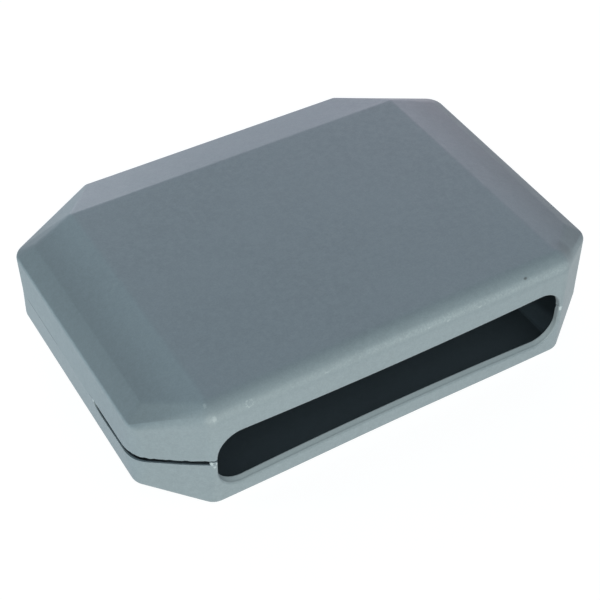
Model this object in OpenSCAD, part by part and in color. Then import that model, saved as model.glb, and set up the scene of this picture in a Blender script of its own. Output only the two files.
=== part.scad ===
// Hollow moulded percussion block: two shells that meet at a seam, a long slot
// in the front wall, and a rod clamp under the back edge.
// X runs along the slot, Y from the slotted front to the back, Z up.
// The origin is the centre of the flat underside that the block rests on.

/* [Block] */
// Length of the block at the seam, along the slot
body_length = 200; // [190:1:220]
// Depth of the block from the slotted front to the back
body_depth = 143.6; // [138:0.2:152]
// Height of the lower shell, from the rest face to the seam
lower_height = 22.7; // [21:0.1:26]
// Height of the upper shell, from the seam to the playing face
upper_height = 25.8; // [23:0.1:30]
// How far the sloping faces of the upper shell fall to its outline
upper_fall = 6.3; // [4:0.1:8]
// How far the sloping faces of the lower shell rise to its outline
lower_fall = 6.5; // [4:0.1:8]
// Thickness of the moulded walls
wall = 2.5; // [2.2:0.1:3.2]

/* [Outline] */
// Half width of the playing face at the front
fold_front_x = 76.2; // [72:0.1:80]
// Half width of the playing face at its back edge
fold_back_x = 74.8; // [70:0.1:80]
// Depth of the slope at the back, from the playing face to the back wall
back_slope = 23; // [18:0.5:28]
// Distance from the front wall to the front corner of an end wall
front_corner_y = 17.8; // [14:0.1:22]
// Distance from the back wall to the back corner of an end wall
back_corner_y = 21.8; // [18:0.1:26]
// Half width of the back wall
back_corner_x = 59.3; // [55:0.1:64]
// Rounding of the long front edge of the playing face
front_round = 8; // [6:0.5:9]

/* [Slot] */
// Length of the slot
slot_length = 149.6; // [140:0.2:150]
// Height of the slot at its ends
slot_height = 25.6; // [20:0.2:26]
// Height of the slot's middle line above the seam
slot_rise = -1.2; // [-2:0.1:1]
// Radius of the slot's four corners
slot_corner_r = 10; // [8:0.5:10]
// Sag of the upper lip at mid-length
upper_lip_sag = 1.2; // [0.5:0.1:2]
// Rise of the lower lip at mid-length
lower_lip_rise = 1.6; // [0.5:0.1:2.5]
// Rise of the underside below the slot at mid-length
underside_rise = 1.9; // [0.5:0.1:2.5]

/* [Seam] */
// Widest opening of the seam at the left front corner
seam_gap = 1.7; // [0.5:0.1:2]
// Length of the open seam along the left end wall
seam_gap_l = 31; // [20:1:40]
// Height of the tongue that keys the two shells together
tongue_height = 1.6; // [1:0.1:2]

/* [Mount] */
// Diameter of the eye for a 9.5 mm rod
eye_bore_d = 10; // [9.8:0.1:10.4]
// Distance from the back wall to the rod's axis
rod_back = 12.7; // [12.5:0.1:16]
// Height of the eye bolt's axis above the rest face
bolt_axis_z = 13.5; // [13.2:0.1:14]
// Thickness of the bracket's steel
bracket_t = 2.5; // [2:0.1:2.6]
// Thickness of the rubber pad
pad_t = 1.5; // [1:0.1:2]
// Height of the wing nut's hub
nut_hub_h = 8; // [7:0.5:9]

/* [Hidden] */
$fn = 48;
eps = 0.01;

half_l = body_length / 2;
half_d = body_depth / 2;
front_y = -half_d;
seam_z = lower_height;

// Draft of the end walls and of the front wall
end_draft = 0.6;
front_draft = 0.3;

// Plan radii of the eight corners, in the order of outline() below
seam_r = [3, 3, 15, 15, 15, 15, 15, 15];
top_r = [front_round, front_round, 7.4, 8.3, 3.9, 3.9, 8.3, 7.4];
low_r = [6.8, 6.8, 7.3, 7.3, 7.3, 7.3, 7.3, 7.3];
// Radii of the edges above and below those corners
top_edge_r = [front_round, front_round, 6.4, 6.4, 3.9, 3.9, 6.4, 6.4];
low_edge_r = [2, 2, 2, 2, 2, 2, 2, 2];
fold_r = 1;
hull_fn = 32;

// Screws that join the shells
screw_places = [[-66, -28], [66, -28], [-66, 38], [66, 38], [-36, 40], [36, 40]];
screw_r = 1.7;
screw_head_r = 3.4;
screw_head_h = 2.4;
screw_length = 26;
counterbore_r = 3.9;
counterbore_h = 8;
boss_r = 4.6;
cross_w = 1;
cross_l = 4;

// Bracket: a flat plate, a ramp along the back slope and a sideways channel
plate_y0 = 18;
plate_half_w = 20;
plate_gap = 0.2;
recess_clear = 1;
knee_y0 = half_d - back_slope + 0.7;
knee_y1 = half_d + 0.2;
tab_z = 6.5;
rod_y = half_d + rod_back;
eye_h = 8;
eye_r = 8.5;
eye_play = 0.5;
channel_half_y = 9.5;
channel_x1 = 14.5;
channel_mouth_x = 1.5;
notch_depth = eye_bore_d / 2 * sqrt(2) + 0.57;
channel_z1 = tab_z + 2 * bracket_t + eye_h + 2 * eye_play;
shank_r = 2.97;
shank_end_x = 27.5;
web_hole_r = 3.3;

// Screws through the bracket
bracket_screw_x = 13;
bracket_screw_y = 34;
m5_r = 2.5;
m5_head_r = 4.6;
m5_clear_r = 2.75;
pad_top = plate_gap + bracket_t + pad_t;
floor_top = pad_top + wall;
m5_washer_t = 1;
m5_nut_h = 5;
m5_nut_af = 8;

washer_t = 1.2;
lock_t = 1.4;
nut_x0 = channel_x1 + washer_t + lock_t + 0.05;
nut_bore_r = shank_r + 0.06;
wing_reach = 12;
wing_lean = -40;

shell_grey = [0.45, 0.5, 0.53];
steel = [0.72, 0.73, 0.75];
dark_steel = [0.25, 0.26, 0.28];
rubber_black = [0.1, 0.1, 0.1];

// Eight corners of an outline, counter-clockwise from the left end of the front wall
function outline(front_x, end_x, front) = [
    [-front_x, front], [front_x, front],
    [end_x, front_y + front_corner_y], [end_x, half_d - back_corner_y],
    [back_corner_x, half_d], [-back_corner_x, half_d],
    [-end_x, half_d - back_corner_y], [-end_x, front_y + front_corner_y]];

seam_outline = outline(fold_front_x, half_l, front_y);
face_outline = outline(fold_front_x, half_l - end_draft, front_y + front_draft);

function inward(p, q) = [p.y - q.y, q.x - p.x] / norm(q - p);

// The point that lies k inside both walls that meet at corner i
function inside(pts, i, k) =
    let (before = inward(pts[(i + 7) % 8], pts[i]))
    let (after = inward(pts[i], pts[(i + 1) % 8]))
    pts[i] + k * (before + after) / (1 + before * after);

function small_r(r, shrink) = max(r - shrink, 1);

// Disc with a rounded upper edge, standing on z = 0
module rounded_disc(disc_r, edge_r) {
    rotate_extrude($fn = hull_fn) {
        square([disc_r - edge_r + eps, edge_r]);
        intersection() {
            translate([disc_r - edge_r, 0]) circle(edge_r, $fn = hull_fn);
            square([disc_r, edge_r]);
        }
    }
}

// One half of the block above z = 0, every face moved in by shrink
module half_body(height, fall, back_x, plan_r, edge_r, shrink) {
    hull() {
        for (i = [0:7]) {
            seam_corner_r = small_r(seam_r[i], shrink);
            translate(inside(seam_outline, i, shrink + seam_corner_r))
                cylinder(r = seam_corner_r, h = 0.1, $fn = hull_fn);
            disc_r = small_r(plan_r[i], shrink);
            rim_r = min(disc_r, small_r(edge_r[i], shrink));
            top = height - shrink - (i < 2 ? 0 : fall);
            at = inside(face_outline, i, shrink + disc_r);
            translate([at.x, at.y, top - rim_r]) rounded_disc(disc_r, rim_r);
        }
        for (side = [-1, 1])
            translate([side * (back_x - shrink - fold_r),
                       half_d - back_slope - fold_r, height - shrink - fold_r])
                rounded_disc(fold_r, fold_r);
    }
}

module upper_half(shrink) {
    translate([0, 0, seam_z])
        half_body(upper_height, upper_fall, fold_back_x, top_r, top_edge_r, shrink);
}

module lower_half(shrink) {
    translate([0, 0, seam_z]) mirror([0, 0, 1])
        half_body(lower_height, lower_fall, fold_front_x, low_r, low_edge_r, shrink);
}

// Straight prism inside the walls at the seam
module seam_prism(inset, z0, z1) {
    translate([0, 0, z0]) hull()
        for (i = [0:7])
            translate(inside(seam_outline, i, inset + small_r(seam_r[i], inset)))
                cylinder(r = small_r(seam_r[i], inset), h = z1 - z0, $fn = hull_fn);
}

function arc_r(half_chord, sag) = (half_chord * half_chord + sag * sag) / (2 * sag);

// Slot outline: a band with rounded corners, drawn in at mid-length
module slot_outline() {
    corner_x = slot_length / 2 - slot_corner_r;
    corner_z = slot_height / 2 - slot_corner_r;
    upper_r = arc_r(corner_x, upper_lip_sag);
    lower_r = arc_r(corner_x, lower_lip_rise);
    difference() {
        union() {
            square([2 * corner_x, slot_height], center = true);
            square([slot_length, 2 * corner_z], center = true);
            for (x = [-corner_x, corner_x], z = [-corner_z, corner_z])
                translate([x, z]) circle(slot_corner_r, $fn = 96);
        }
        translate([0, slot_height / 2 - upper_lip_sag + upper_r]) circle(upper_r, $fn = 720);
        translate([0, -slot_height / 2 + lower_lip_rise - lower_r]) circle(lower_r, $fn = 720);
    }
}

module slot_cut() {
    translate([0, front_y + 12, seam_z + slot_rise]) rotate([90, 0, 0])
        linear_extrude(24) slot_outline();
}

// Large cylinder that hollows the underside below the slot and runs out to nothing
// at mid-depth; grow makes the raised floor above it
module underside_hollow(grow) {
    hollow_r = arc_r(fold_front_x, underside_rise);
    run_out = half_d - 12;
    translate([0, front_y, underside_rise]) rotate([-atan(underside_rise / run_out), 0, 0])
        translate([0, -4, -hollow_r]) rotate([-90, 0, 0])
            cylinder(r = hollow_r + grow, h = run_out + 30, $fn = 720);
}

// Band in the YZ plane along the bracket's path, from z_low to z_high above it
module path_band(y_start, y_end, z_low, z_high) {
    bend = atan((tab_z - plate_gap) / (knee_y1 - knee_y0));
    function at(z) = z * tan(bend / 2);
    polygon([
        [y_start, plate_gap + z_low], [knee_y0 - at(z_low), plate_gap + z_low],
        [knee_y1 - at(z_low), tab_z + z_low], [y_end, tab_z + z_low],
        [y_end, tab_z + z_high], [knee_y1 - at(z_high), tab_z + z_high],
        [knee_y0 - at(z_high), plate_gap + z_high], [y_start, plate_gap + z_high]]);
}

// The same band, made w wide along X
module path_strip(w, y_start, y_end, z_low, z_high) {
    translate([-w / 2, 0, 0]) rotate([90, 0, 90]) linear_extrude(w)
        path_band(y_start, y_end, z_low, z_high);
}

// Wedge that opens the seam from the end wall round to the slot
module seam_opening() {
    corner = seam_outline[7];
    side = seam_outline[0] - corner;
    chamfer_l = norm(side);
    difference() {
        union() {
            translate([corner.x - 1, corner.y, seam_z]) rotate([90, 0, 90]) linear_extrude(wall)
                polygon([[-2, -seam_gap], [seam_gap_l - 8, -seam_gap], [seam_gap_l, -0.5],
                         [seam_gap_l, eps], [-2, eps]]);
            translate([corner.x, corner.y, seam_z]) rotate([0, 0, atan2(side.y, side.x)])
                translate([0, wall, 0]) rotate([90, 0, 0]) linear_extrude(wall + 1)
                    polygon([[-1, -seam_gap], [chamfer_l - 6, -seam_gap],
                             [chamfer_l - 5, -0.35], [chamfer_l + 1, -0.35],
                             [chamfer_l + 1, eps], [-1, eps]]);
        }
        seam_prism(wall / 2, seam_z - seam_gap - 1, seam_z + 1);
    }
}

module at_screws() {
    for (place = screw_places) translate([place.x, place.y, 0]) children();
}

module upper_shell() {
    color(shell_grey) difference() {
        union() {
            difference() {
                upper_half(0);
                upper_half(wall);
                seam_prism(wall, seam_z - 1, seam_z + 2);
            }
            at_screws() translate([0, 0, seam_z])
                cylinder(r = boss_r - 0.4, h = upper_height - wall / 2);
        }
        difference() {
            seam_prism(wall / 2 - 0.15, seam_z - eps, seam_z + tongue_height + 0.15);
            at_screws() translate([0, 0, seam_z - 1]) cylinder(r = boss_r, h = 5);
        }
        at_screws() translate([0, 0, seam_z - eps])
            cylinder(r = screw_r + 0.05, h = counterbore_h + screw_length - seam_z + 1);
        slot_cut();
    }
}

module lower_shell() {
    recess_w = 2 * (plate_half_w + recess_clear);
    color(shell_grey) difference() {
        union() {
            difference() {
                lower_half(0);
                lower_half(wall);
                seam_prism(wall, seam_z - 1, seam_z + 1);
            }
            intersection() {
                lower_half(0);
                union() {
                    underside_hollow(wall);
                    path_strip(recess_w + 2 * wall, plate_y0 - recess_clear - wall, half_d,
                               0, floor_top - plate_gap);
                }
            }
            difference() {
                seam_prism(wall / 2, seam_z - 2, seam_z + tongue_height);
                seam_prism(wall - 0.3, seam_z - 3, seam_z + tongue_height + 1);
            }
            at_screws() translate([0, 0, wall / 2]) cylinder(r = boss_r, h = seam_z - wall / 2);
        }
        at_screws() {
            translate([0, 0, -1]) cylinder(r = counterbore_r, h = counterbore_h + 1);
            cylinder(r = screw_r + 0.2, h = seam_z + 1);
        }
        path_strip(recess_w, plate_y0 - recess_clear, half_d + 5, -12, pad_top - plate_gap);
        at_bracket_screws() cylinder(r = m5_clear_r, h = floor_top + 1);
        underside_hollow(0);
        slot_cut();
        seam_opening();
    }
}

// Cross-shaped drive recess, sunk depth deep into a head whose face is z = 0
module cross_recess(w, l, depth) {
    translate([-l / 2, -w / 2, -eps]) cube([l, w, depth]);
    translate([-w / 2, -l / 2, -eps]) cube([w, l, depth]);
}

module shell_screws() {
    color(steel) at_screws() translate([0, 0, counterbore_h - screw_head_h]) difference() {
        union() {
            rotate_extrude() polygon([[0, 0], [screw_head_r - 0.9, 0], [screw_head_r, 0.9],
                                      [screw_head_r, screw_head_h], [0, screw_head_h]]);
            translate([0, 0, screw_head_h - eps]) cylinder(r = screw_r, h = screw_length - 3);
            translate([0, 0, screw_head_h + screw_length - 3 - 2 * eps])
                cylinder(r1 = screw_r, r2 = 0.4, h = 3);
        }
        cross_recess(cross_w, cross_l, 1.4);
    }
}

module at_bracket_screws() {
    for (side = [-1, 1]) translate([side * bracket_screw_x, bracket_screw_y, 0]) children();
}

// Plan of the bracket's strip: wide plate, then a neck that ends in the rod notch
module bracket_plan() {
    neck_x = -channel_half_y;
    mouth_half = notch_depth - channel_mouth_x;
    y_front = rod_y - channel_half_y;
    y_back = rod_y + channel_half_y;
    polygon([
        [-plate_half_w, plate_y0], [plate_half_w, plate_y0], [plate_half_w, knee_y0 + 3],
        [channel_x1, knee_y1 - 2], [channel_x1, y_front + eps], [channel_x1 - 3, y_front + eps],
        [channel_x1 - 3, y_back], [channel_mouth_x, y_back],
        [channel_mouth_x, rod_y + mouth_half], [notch_depth, rod_y],
        [channel_mouth_x, rod_y - mouth_half], [channel_mouth_x, y_front],
        [neck_x, y_front - 4], [neck_x, knee_y1 - 2], [-plate_half_w, knee_y0 + 3]]);
}

// Side view of the channel in the XZ plane: two flanges and a web with round bends
module channel_outline() {
    bend_r = bracket_t + 0.5;
    difference() {
        union() {
            translate([channel_mouth_x, tab_z])
                square([channel_x1 - bend_r - channel_mouth_x, channel_z1 - tab_z]);
            translate([channel_mouth_x, tab_z + bend_r])
                square([channel_x1 - channel_mouth_x, channel_z1 - tab_z - 2 * bend_r]);
            for (z = [tab_z + bend_r, channel_z1 - bend_r])
                translate([channel_x1 - bend_r, z]) circle(bend_r);
        }
        translate([channel_mouth_x - 1, tab_z + bracket_t])
            square([channel_x1 - bracket_t - channel_mouth_x + 1, eye_h + 2 * eye_play]);
    }
}

module mount_bracket() {
    notch_mouth = 2 * (notch_depth - channel_mouth_x);
    color(dark_steel) difference() {
        union() {
            intersection() {
                path_strip(2 * plate_half_w, plate_y0, rod_y + channel_half_y, 0, bracket_t);
                linear_extrude(40) bracket_plan();
            }
            translate([0, rod_y + channel_half_y, 0]) rotate([90, 0, 0])
                linear_extrude(2 * channel_half_y) channel_outline();
        }
        translate([notch_depth, rod_y, tab_z - 1]) rotate([0, 0, 135])
            cube([notch_mouth, notch_mouth, 30]);
        translate([channel_x1 - bracket_t - 1, rod_y, bolt_axis_z]) rotate([0, 90, 0])
            cylinder(r = web_hole_r, h = bracket_t + 2);
        at_bracket_screws() {
            cylinder(r = m5_clear_r, h = bracket_t + 1);
            translate([0, 0, plate_gap - eps])
                cylinder(r1 = m5_head_r + 0.2, r2 = m5_clear_r, h = m5_head_r - m5_r);
        }
    }
}

module isolation_pad() {
    pad_half_w = plate_half_w - 0.5;
    pad_l = knee_y0 - plate_y0 - 1.5;
    color(rubber_black) difference() {
        translate([-pad_half_w, plate_y0 + 0.5, plate_gap + bracket_t])
            cube([2 * pad_half_w, pad_l, pad_t]);
        at_bracket_screws() cylinder(r = m5_clear_r, h = 10);
    }
}

module bracket_screws() {
    head_h = m5_head_r - m5_r;
    screw_top = floor_top + m5_washer_t + m5_nut_h + 1.3;
    color(steel) at_bracket_screws() difference() {
        union() {
            translate([0, 0, plate_gap]) cylinder(r1 = m5_head_r, r2 = m5_r, h = head_h);
            translate([0, 0, plate_gap + head_h - eps])
                cylinder(r = m5_r, h = screw_top - plate_gap - head_h);
        }
        translate([0, 0, plate_gap]) cross_recess(1.2, 5, 1.8);
    }
}

module bracket_washers() {
    color(steel) at_bracket_screws() translate([0, 0, floor_top]) difference() {
        cylinder(r = 5, h = m5_washer_t);
        translate([0, 0, -1]) cylinder(r = m5_clear_r, h = m5_washer_t + 2);
    }
}

// Hexagonal nut with a plain round collar on top
module bracket_locknuts() {
    color(steel) at_bracket_screws() translate([0, 0, floor_top + m5_washer_t]) difference() {
        union() {
            cylinder(r = m5_nut_af / 2 / cos(30), h = m5_nut_h - 1.3, $fn = 6);
            cylinder(r = m5_nut_af / 2 - 0.4, h = m5_nut_h);
        }
        translate([0, 0, -1]) cylinder(r = m5_r + 0.04, h = m5_nut_h + 2);
    }
}

// Eye round the rod, neck and threaded shank along X
module eye_bolt() {
    chamfer = 0.9;
    color(steel) difference() {
        union() {
            translate([0, rod_y, bolt_axis_z - eye_h / 2]) rotate_extrude($fn = 96) polygon([
                [0, 0], [eye_r - chamfer, 0], [eye_r, chamfer], [eye_r, eye_h - chamfer],
                [eye_r - chamfer, eye_h], [0, eye_h]]);
            translate([eye_r - 2, rod_y, bolt_axis_z]) rotate([0, 90, 0]) {
                cylinder(r1 = eye_h / 2 - 0.3, r2 = shank_r, h = 3);
                cylinder(r = shank_r, h = shank_end_x - eye_r + 2 - 1);
                translate([0, 0, shank_end_x - eye_r + 1 - eps])
                    cylinder(r1 = shank_r, r2 = shank_r - 0.8, h = 1);
            }
        }
        translate([0, rod_y, bolt_axis_z - eye_h]) cylinder(r = eye_bore_d / 2, h = 2 * eye_h, $fn = 96);
    }
}

module ring_on_bolt(x, outer_r, thick) {
    translate([x, rod_y, bolt_axis_z]) rotate([0, 90, 0]) difference() {
        cylinder(r = outer_r, h = thick);
        translate([0, 0, -1]) cylinder(r = web_hole_r, h = thick + 2);
    }
}

module clamp_washer() {
    color(steel) ring_on_bolt(channel_x1, 6.2, washer_t);
}

// Spring washer with its split
module lock_washer() {
    color(steel) difference() {
        ring_on_bolt(channel_x1 + washer_t, 5.4, lock_t);
        translate([channel_x1 + washer_t - 1, rod_y, bolt_axis_z]) rotate([wing_lean, 0, 0])
            translate([0, -0.4, 0]) cube([lock_t + 2, 0.8, 8]);
    }
}

// One wing in the XY plane, X along the bolt and Y outwards
module wing_outline() {
    tip_r = 3;
    polygon([[0.8, 2], [1.5, 4.5], [nut_hub_h - 0.6, wing_reach - tip_r],
             [nut_hub_h + 4.6, wing_reach - tip_r], [nut_hub_h - 1, 3], [nut_hub_h - 2, 2]]);
    translate([nut_hub_h + 2, wing_reach - tip_r]) circle(tip_r);
}

module wing_nut() {
    wing_t = 2.4;
    color(steel) translate([nut_x0, rod_y, bolt_axis_z]) rotate([wing_lean, 0, 0]) difference() {
        union() {
            rotate([0, 90, 0]) {
                cylinder(r = 5.4, h = 1.2);
                cylinder(r1 = 5.2, r2 = 4.2, h = nut_hub_h);
            }
            for (side = [0, 180]) rotate([side, 0, 0])
                translate([0, 0, -wing_t / 2]) linear_extrude(wing_t) wing_outline();
        }
        translate([-1, 0, 0]) rotate([0, 90, 0]) cylinder(r = nut_bore_r, h = nut_hub_h + 10);
    }
}

upper_shell();
lower_shell();
shell_screws();
mount_bracket();
isolation_pad();
bracket_screws();
bracket_washers();
bracket_locknuts();
eye_bolt();
clamp_washer();
lock_washer();
wing_nut();
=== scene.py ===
"""Hollow percussion block of moulded grey plastic, with a rod clamp under its back edge.

The two shells start from balls, rings and cylinders at their eight corners. A convex hull
closes them, and the walls, the slot, the bosses and the recess are then cut and joined.
The bracket and the clamp are rounded copies of the frame's own parts, and the eye bolt gets
its thread. The pad and the screws keep the frame's shapes and get new finishes.
Lengths are in metres. X runs along the slot, Y from the slotted front to the back, Z up.
"""

from math import atan2, copysign, cos, pi, radians, sin, sqrt, tan

import bmesh
import bpy
from bpy.props import FloatProperty, FloatVectorProperty, PointerProperty
from mathutils import Matrix, Vector, noise


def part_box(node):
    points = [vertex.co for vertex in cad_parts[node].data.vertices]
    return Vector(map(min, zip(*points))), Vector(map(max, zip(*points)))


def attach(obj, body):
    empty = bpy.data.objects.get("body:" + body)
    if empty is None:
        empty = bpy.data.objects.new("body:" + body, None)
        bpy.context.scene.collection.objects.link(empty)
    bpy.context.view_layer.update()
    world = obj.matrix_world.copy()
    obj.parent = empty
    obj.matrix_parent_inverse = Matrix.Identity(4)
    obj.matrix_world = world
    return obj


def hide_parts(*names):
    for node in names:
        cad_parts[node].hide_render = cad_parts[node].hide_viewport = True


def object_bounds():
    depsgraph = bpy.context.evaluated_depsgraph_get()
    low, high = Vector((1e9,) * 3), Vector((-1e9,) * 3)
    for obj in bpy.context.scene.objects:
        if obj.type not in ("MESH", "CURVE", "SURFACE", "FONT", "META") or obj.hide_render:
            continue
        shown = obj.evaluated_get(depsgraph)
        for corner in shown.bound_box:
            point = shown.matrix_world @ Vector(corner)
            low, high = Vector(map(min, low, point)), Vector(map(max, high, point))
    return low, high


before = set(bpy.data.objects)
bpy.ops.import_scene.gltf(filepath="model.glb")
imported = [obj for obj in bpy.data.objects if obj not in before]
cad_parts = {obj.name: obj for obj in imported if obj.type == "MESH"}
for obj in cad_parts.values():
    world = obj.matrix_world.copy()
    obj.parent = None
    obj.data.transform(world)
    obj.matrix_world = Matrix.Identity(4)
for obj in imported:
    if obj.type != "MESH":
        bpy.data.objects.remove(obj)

bl_info = {
    "name": "Moulded percussion block",
    "version": (1, 0, 0),
    "blender": (4, 5, 0),
    "location": "View3D > Sidebar > Percussion block",
    "description": "Models a hollow slotted percussion block and its rod clamp around a fixed frame",
    "category": "Add Mesh",
}

CAD_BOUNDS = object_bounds()
MM = 0.001

# The frame's own sizes
UPPER_LOW, UPPER_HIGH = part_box("upper_shell")
LOWER_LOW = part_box("lower_shell")[0]
SEAM_Z = UPPER_LOW.z
HALF_LENGTH = UPPER_HIGH.x
HALF_DEPTH = UPPER_HIGH.y
FRONT_Y = -HALF_DEPTH
UPPER_HEIGHT = UPPER_HIGH.z - SEAM_Z
LOWER_HEIGHT = SEAM_Z - LOWER_LOW.z
SHELL_BODY = "block"


def length(name, description, default, **limits):
    """Property for a length."""
    return FloatProperty(name=name, description=description, default=default, unit="LENGTH",
                         **limits)


def finish_colour(name, description, default):
    """Property for an opaque colour."""
    return FloatVectorProperty(name=name, description=description, default=(*default, 1),
                               subtype="COLOR", size=4, min=0, max=1)


class WoodblockShellSizes(bpy.types.PropertyGroup):
    """Sizes of the two moulded shells"""

    wall: length("Wall", "Thickness of the moulded walls", 2.5 * MM, min=2.2 * MM, max=3.2 * MM)
    fold_front_x: length("Front fold", "Half width of the playing face at the front", 76.2 * MM)
    fold_back_x: length("Back fold", "Half width of the playing face at its back edge", 74.8 * MM)
    back_slope: length(
        "Back slope", "Depth of the slope from the playing face to the back wall", 23 * MM)
    upper_fall: length("Upper fall", "How far the upper slopes fall to the outline", 6.3 * MM)
    lower_fall: length("Lower fall", "How far the lower slopes rise to the outline", 6.5 * MM)
    slot_length: length("Slot length", "Length of the slot in the front wall", 149.6 * MM)
    slot_height: length("Slot height", "Height of the slot at its ends", 25.6 * MM)
    slot_rise: length("Slot rise", "Height of the slot's middle line above the seam", -1.2 * MM)
    slot_corner_r: length("Slot corners", "Radius of the slot's four corners", 10 * MM)
    upper_lip_sag: length("Upper lip sag", "Sag of the slot's upper lip at mid-length", 1.2 * MM)
    lower_lip_rise: length("Lower lip rise", "Rise of the slot's lower lip at mid-length", 1.6 * MM)
    underside_rise: length(
        "Underside rise", "Rise of the underside below the slot at mid-length", 1.9 * MM)
    upper_lip_round: length("Upper lip rounding", "Radius of the slot's upper outer edge", 0.7 * MM)
    lower_lip_round: length("Lower lip rounding", "Radius of the slot's lower outer edge", 1 * MM)
    lower_lip_tilt: FloatProperty(
        name="Lower lip tilt", description="Angle at which the slot's lower lip falls to the front",
        default=radians(30), subtype="ANGLE")
    rim_round: length("Rim rounding", "Radius of the shells' edges at the seam", 0.14 * MM)
    seam_gap: FloatProperty(
        name="Seam gap", description="Scale of the open seam at the left front corner",
        default=1, min=0.3, max=1.2)


class WoodblockFinishes(bpy.types.PropertyGroup):
    """Colours of the block's finishes"""

    plastic: finish_colour("Plastic", "Colour of the moulded shells", (0.212, 0.258, 0.285))
    coating: finish_colour(
        "Bracket coating", "Colour of the bracket's powder coat", (0.012, 0.012, 0.013))
    zinc: finish_colour("Zinc", "Colour of the plated screws", (0.56, 0.58, 0.6))
    chrome: finish_colour("Satin chrome", "Colour of the clamp's plating", (0.62, 0.63, 0.65))
    rubber: finish_colour("Rubber", "Colour of the pad under the block", (0.012, 0.012, 0.012))


class WoodblockStage(bpy.types.PropertyGroup):
    """Camera and light"""

    azimuth: FloatProperty(
        name="Azimuth", description="Angle of the camera round the block, from the front",
        default=radians(-30.571), subtype="ANGLE")
    elevation: FloatProperty(
        name="Elevation", description="Height of the camera above the horizon, as an angle",
        default=radians(43.827), subtype="ANGLE")
    distance: length("Distance", "Distance from the camera to the point it aims at", 0.55474)
    aim: FloatVectorProperty(
        name="Aim", description="Point that the camera aims at", subtype="XYZ", unit="LENGTH",
        default=(-3.925 * MM, -7.587 * MM, 13.816 * MM))
    lens: FloatProperty(
        name="Lens", description="Focal length in millimetres on a 36 mm sensor", default=83.26)


def sizes():
    return bpy.context.scene.woodblock_sizes


def finishes():
    return bpy.context.scene.woodblock_finishes


# Small tools for modelling

def only(obj):
    """Make obj the one selected and active object."""
    bpy.ops.object.select_all(action="DESELECT")
    obj.select_set(True)
    bpy.context.view_layer.objects.active = obj
    return obj


def settled(name):
    """Name the new primitive and put its place and turn into its mesh."""
    made = bpy.context.active_object
    made.name = name
    made.data.name = name
    only(made)
    bpy.ops.object.transform_apply(location=True, rotation=True, scale=True)
    return made


def cylinder(name, radius, low, high, place=(0, 0), steps=48, axis="Z"):
    """Cylinder from low to high along Z or Y. place is its centre in the other two axes."""
    middle = (low + high) / 2
    at = {"Z": (place[0], place[1], middle), "Y": (place[0], middle, place[1])}[axis]
    turn = {"Z": (0, 0, 0), "Y": (pi / 2, 0, 0)}[axis]
    bpy.ops.object.select_all(action="DESELECT")
    bpy.ops.mesh.primitive_cylinder_add(
        vertices=steps, radius=radius, depth=high - low, location=at, rotation=turn)
    return settled(name)


def joined(name, parts):
    """Join parts into one object."""
    only(parts[0])
    for part in parts:
        part.select_set(True)
    bpy.ops.object.join()
    parts[0].name = name
    parts[0].data.name = name
    return parts[0]


def edit(obj, mode="VERT", action="SELECT"):
    """Enter edit mode on obj with everything selected, or nothing."""
    only(obj)
    bpy.ops.object.mode_set(mode="EDIT")
    bpy.ops.mesh.select_mode(type=mode)
    bpy.ops.mesh.select_all(action=action)


def leave_edit():
    bpy.ops.object.mode_set(mode="OBJECT")


def turn_outward():
    """Select all faces, in edit mode, and turn them outwards."""
    bpy.ops.mesh.select_all(action="SELECT")
    bpy.ops.mesh.normals_make_consistent(inside=False)


FLAT_ANGLE = radians(0.15)
MERGE_DISTANCE = 0.001 * MM


def hulled(name, parts):
    """Close parts with a convex hull and merge its flat triangles."""
    obj = joined(name, parts)
    edit(obj)
    bpy.ops.mesh.convex_hull()
    bpy.ops.mesh.select_all(action="SELECT")
    bpy.ops.mesh.remove_doubles(threshold=MERGE_DISTANCE)
    bpy.ops.mesh.dissolve_limited(angle_limit=FLAT_ANGLE)
    leave_edit()
    return obj


def combine(target, tool, operation):
    """Boolean of target and tool, applied. The tool is used up."""
    only(target)
    step = target.modifiers.new(operation.lower(), "BOOLEAN")
    step.operation = operation
    step.solver = "EXACT"
    step.object = tool
    bpy.ops.object.modifier_apply(modifier=step.name)
    bpy.data.objects.remove(tool)
    return target


def cut(target, tool):
    return combine(target, tool, "DIFFERENCE")


def add(target, tool):
    return combine(target, tool, "UNION")


def pick(obj, kind, test):
    """Select the faces or edges of obj, in edit mode, that pass test."""
    mesh = bmesh.from_edit_mesh(obj.data)
    found = False
    for part in getattr(mesh, kind):
        chosen = bool(test(part))
        part.select_set(chosen)
        found = found or chosen
    mesh.select_flush_mode()
    bmesh.update_edit_mesh(obj.data)
    if not found:
        raise RuntimeError(f"{obj.name}: none of its {kind} passed the test")


def bevel_edges(obj, test, width, segments=3):
    """Round the edges that pass test."""
    edit(obj, "EDGE", "DESELECT")
    pick(obj, "edges", test)
    bpy.ops.mesh.bevel(offset=width, offset_type="OFFSET", segments=segments, profile=0.5,
                       affect="EDGES", clamp_overlap=True)
    leave_edit()
    return obj


def smooth(obj, angle):
    """Shade smooth up to an angle in degrees, with flat faces kept flat."""
    only(obj)
    bpy.ops.object.shade_smooth_by_angle(angle=radians(angle))
    step = obj.modifiers.new("even normals", "WEIGHTED_NORMAL")
    step.weight = 60
    step.keep_sharp = True
    bpy.ops.object.modifier_apply(modifier=step.name)
    return obj


def outline_plate(name, outline, thickness):
    """Plate whose face is a closed outline of points, thickened along a vector."""
    bpy.ops.object.select_all(action="DESELECT")
    bpy.ops.mesh.primitive_circle_add(vertices=len(outline), radius=MM, fill_type="NGON")
    made = settled(name)
    for vertex, point in zip(made.data.vertices, outline):
        vertex.co = point
    edit(made, "FACE")
    bpy.ops.mesh.extrude_region_move(TRANSFORM_OT_translate={"value": thickness})
    turn_outward()
    leave_edit()
    return made


# Plan of the block: eight corners, counter-clockwise from the left end of the front wall

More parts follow.
